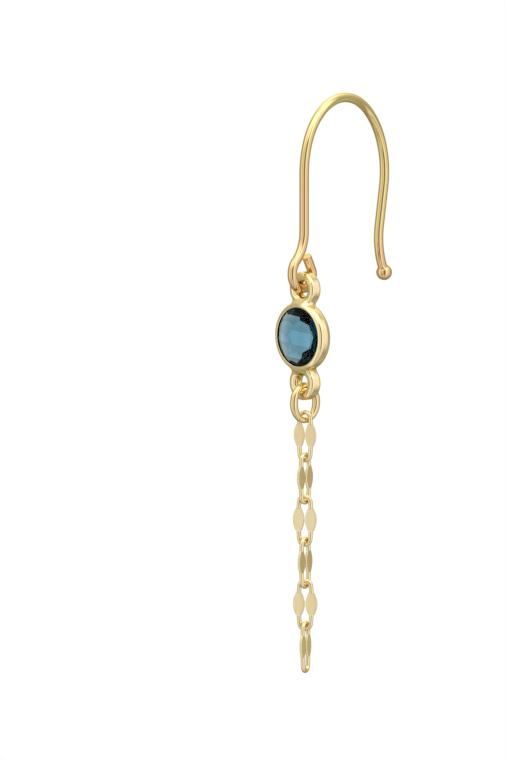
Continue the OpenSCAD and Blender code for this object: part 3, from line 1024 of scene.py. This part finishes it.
def backdrop_light(n, behind, elevation):
    """The lit backdrop that light through the stone meets, or the even light for the rest."""
    edge = BACKDROP_SHADE * behind.between(*BACKDROP_EDGE)
    rows = LOWER_SHADE * elevation.between(*LOWER_ROW) + UPPER_SHADE * elevation.between(*UPPER_ROW)
    direct = (1 - edge) * (1 - rows)
    turned = n.add("ShaderNodeLightPath", out="Ray Depth").between(*MANY_FACES)
    inputs = {
        "Color": turned.blend(WHITE, INNER_COLOUR),
        "Strength": direct * (1 - turned) + INNER_LIGHT * turned,
    }
    return n.add("ShaderNodeBackground", inputs=inputs)


def hang_tent(scene, axes):
    """White to the lens, a backdrop to light through the stone, and a light tent to the gold."""
    world = bpy.data.worlds.new("light_tent")
    scene.world = world
    world.use_nodes = True
    n = Nodes(world.node_tree)
    way = n.add("ShaderNodeTexCoord", out="Generated")
    across, rise, near = n.along(way, axes)
    azimuth = n.maths("ARCTAN2", across, near) * DEGREES_PER_RADIAN
    elevation = n.maths("ARCSINE", rise) * DEGREES_PER_RADIAN
    behind = n.maths("ARCCOSINE", near * -1) * DEGREES_PER_RADIAN
    light = tent_light(n, azimuth, elevation)
    backdrop = backdrop_light(n, behind, elevation)
    plain = n.add("ShaderNodeBackground", inputs={"Color": WHITE, "Strength": 1.0})
    through = n.add("ShaderNodeLightPath", out="Is Transmission Ray")
    seen = n.add("ShaderNodeLightPath", out="Is Camera Ray")
    lit = n.add("ShaderNodeMixShader", inputs={0: through, 1: light, 2: backdrop})
    mixed = n.add("ShaderNodeMixShader", inputs={0: seen, 1: lit, 2: plain})
    n.output("ShaderNodeOutputWorld", mixed)


def lay_floor(scene, stage):
    """A plain white floor below the chain, which throws no light of its own on it."""
    low, half = CAD_BOX[0].z - stage.floor_drop, FLOOR_HALF
    corners = [(x, y, low) for x, y in ((-half, -half), (half, -half), (half, half), (-half, half))]
    mesh = bpy.data.meshes.new("floor")
    mesh.from_pydata(corners, [], [(0, 1, 2, 3)])
    material, n = new_material("white_floor")
    glow = n.add("ShaderNodeEmission", inputs={"Color": WHITE, "Strength": 1.0})
    n.output("ShaderNodeOutputMaterial", glow)
    mesh.materials.append(material)
    floor = bpy.data.objects.new("floor", mesh)
    scene.collection.objects.link(floor)
    floor.visible_diffuse = floor.visible_glossy = floor.visible_transmission = False
    floor.visible_shadow = False


def place_camera(scene, stage, axes):
    """A long lens, so far away that the earring is seen almost without perspective."""
    right, up, back = axes
    data = bpy.data.cameras.new("camera")
    data.sensor_width = SENSOR_WIDTH_MM
    data.lens = SENSOR_WIDTH_MM * stage.distance / stage.frame_height
    data.clip_start, data.clip_end = CLIP_NEAR, CLIP_FAR
    camera = bpy.data.objects.new("camera", data)
    scene.collection.objects.link(camera)
    target = -right * stage.centre_left - up * stage.centre_down
    camera.location = target + back * stage.distance
    camera.rotation_mode = "QUATERNION"
    camera.rotation_quaternion = (-back).to_track_quat("-Z", "Y")
    scene.camera = camera


# Operators


def hang_piece(name, points, faces, normals, place, material, node):
    """A piece of the drop, brought from its own right, up and front to its place."""
    axes, centre = place
    turned = None if normals is None else normals @ axes
    add_piece(name, points @ axes + centre, faces, material, "drop", node, turned)


class EARRING_OT_bend_hook(bpy.types.Operator):
    """Bends the ear hook from one round wire"""

    bl_idname = "earring.bend_hook"
    bl_label = "Bend the hook"

    def execute(self, context):
        points, faces = bend_hook(context.scene.earring_hook)
        add_piece(
            "bent_wire_hook", points, faces, polished_wire(), "hook", "ear_hook",
            area_normals(points, faces),
        )
        return {"FINISHED"}


class EARRING_OT_cast_cup(bpy.types.Operator):
    """Casts the cup and its two eyes in one piece"""

    bl_idname = "earring.cast_cup"
    bl_label = "Cast the cup"

    def execute(self, context):
        cup, stone = context.scene.earring_cup, context.scene.earring_stone
        drop = Drop(context.scene)
        place = drop.facing(cup.turn, drop.stone)
        points, quads, normals = cast_cup(cup, stone)
        hang_piece(
            "cast_cup", points, quads, normals, place, polished_casting(cup, stone, *place),
            "bezel_setting",
        )
        return {"FINISHED"}


class EARRING_OT_cut_stone(bpy.types.Operator):
    """Cuts the chequered stone, facet by facet"""

    bl_idname = "earring.cut_stone"
    bl_label = "Cut the stone"

    def execute(self, context):
        cup, stone = context.scene.earring_cup, context.scene.earring_stone
        drop = Drop(context.scene)
        place = drop.facing(cup.turn, drop.stone)
        points, faces = cut_solid(stone_planes(stone))
        points[:, 2] += cup.eye_setback - stone.sink
        hang_piece(
            "cut_topaz", points, faces, None, place, clear_topaz(stone.tint),
            "topaz_stone",
        )
        return {"FINISHED"}


class EARRING_OT_close_jump_ring(bpy.types.Operator):
    """Bends and closes the oval jump ring"""

    bl_idname = "earring.close_jump_ring"
    bl_label = "Close the jump ring"

    def execute(self, context):
        chain = context.scene.earring_chain
        drop = Drop(context.scene)
        place = drop.facing(chain.jump_turn, drop.jump)
        points, faces = oval_ring(chain)
        gold = bpy.data.materials.get("polished_wire") or polished_wire()
        hang_piece(
            "oval_jump_ring", points, faces, area_normals(points, faces), place, gold,
            "jump_ring",
        )
        return {"FINISHED"}


class EARRING_OT_press_links(bpy.types.Operator):
    """Presses the chain's links and hangs them in one another"""

    bl_idname = "earring.press_links"
    bl_label = "Press the links"

    def execute(self, context):
        drop = Drop(context.scene)
        points, faces = leaf_link(context.scene.earring_chain)
        normals = area_normals(points, faces)
        gold = brushed_leaf()
        for index, (turn, aside) in enumerate(zip(LINK_TURNS, LINK_ASIDES)):
            place = drop.facing(turn, drop.first_leaf - index * LINK_PITCH, aside)
            hang_piece(
                f"leaf_link_{index + 1}", points, faces, normals, place, gold,
                f"chain_link_{index + 1}",
            )
        return {"FINISHED"}


class EARRING_OT_set_stage(bpy.types.Operator):
    """Sets up the floor, the light tent and the camera"""

    bl_idname = "earring.set_stage"
    bl_label = "Set the stage"

    def execute(self, context):
        scene = context.scene
        stage = scene.earring_stage
        axes = view_axes(stage)
        hang_tent(scene, axes)
        lay_floor(scene, stage)
        place_camera(scene, stage, axes)
        scene.view_settings.view_transform = "Standard"
        return {"FINISHED"}


OPERATORS = (
    EARRING_OT_bend_hook,
    EARRING_OT_cast_cup,
    EARRING_OT_cut_stone,
    EARRING_OT_close_jump_ring,
    EARRING_OT_press_links,
    EARRING_OT_set_stage,
)
GROUPS = {
    "earring_hook": HookSizes,
    "earring_cup": CupSizes,
    "earring_stone": StoneSizes,
    "earring_chain": ChainSizes,
    "earring_stage": StageSettings,
}


class EARRING_PT_panel(bpy.types.Panel):
    """Lists the earring's pieces and their sizes"""

    bl_label = "Topaz drop earring"
    bl_idname = "EARRING_PT_panel"
    bl_space_type = "VIEW_3D"
    bl_region_type = "UI"
    bl_category = "Earring"

    def draw(self, context):
        for operator in OPERATORS:
            self.layout.operator(operator.bl_idname)
        for key, group in GROUPS.items():
            box = self.layout.box()
            box.label(text=group.__doc__)
            sizes = getattr(context.scene, key)
            for name in group.__annotations__:
                box.prop(sizes, name)


def register():
    for group in GROUPS.values():
        bpy.utils.register_class(group)
    for key, group in GROUPS.items():
        setattr(bpy.types.Scene, key, PointerProperty(type=group))
    for cls in (*OPERATORS, EARRING_PT_panel):
        bpy.utils.register_class(cls)


def unregister():
    for cls in (EARRING_PT_panel, *reversed(OPERATORS)):
        bpy.utils.unregister_class(cls)
    for key, group in GROUPS.items():
        delattr(bpy.types.Scene, key)
        bpy.utils.unregister_class(group)


def main():
    """Makes every piece and sets the stage."""
    register()
    for operator in OPERATORS:
        group, name = operator.bl_idname.split(".")
        getattr(getattr(bpy.ops, group), name)()


if __name__ == "__main__":
    main()
